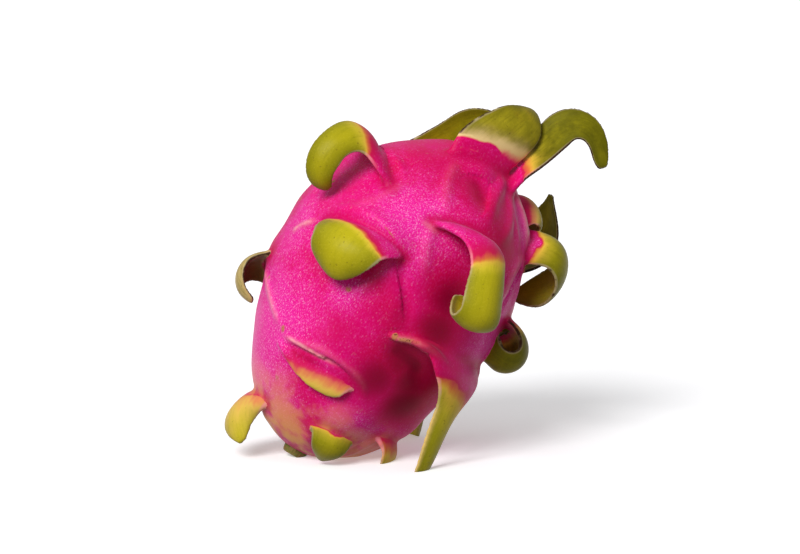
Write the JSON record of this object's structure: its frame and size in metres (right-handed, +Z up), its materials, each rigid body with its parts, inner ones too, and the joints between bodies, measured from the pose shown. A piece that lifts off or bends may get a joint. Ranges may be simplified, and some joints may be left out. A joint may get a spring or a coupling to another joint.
{
  "type": "dragon fruit",
  "caption": "Whole egg-shaped fresh dragon fruit with a pink rind and curling leaf-like green-tipped scales, leaning on a small flat spot and its lowest scales.",
  "frame": {"origin": "centre of the small flat resting spot near the stem end, on the surface that the fruit rests on", "axes": "+Z up, +X to the side that the flower end leans to, +Y to the back, away from the side with the hooked scale"},
  "size_m": [0.1487, 0.1298, 0.1356],
  "materials": {
    "rind": "satin, with green scale tips"
  },
  "bodies": {
    "root": {"fruit": "rind"}
  },
  "joints": []
}
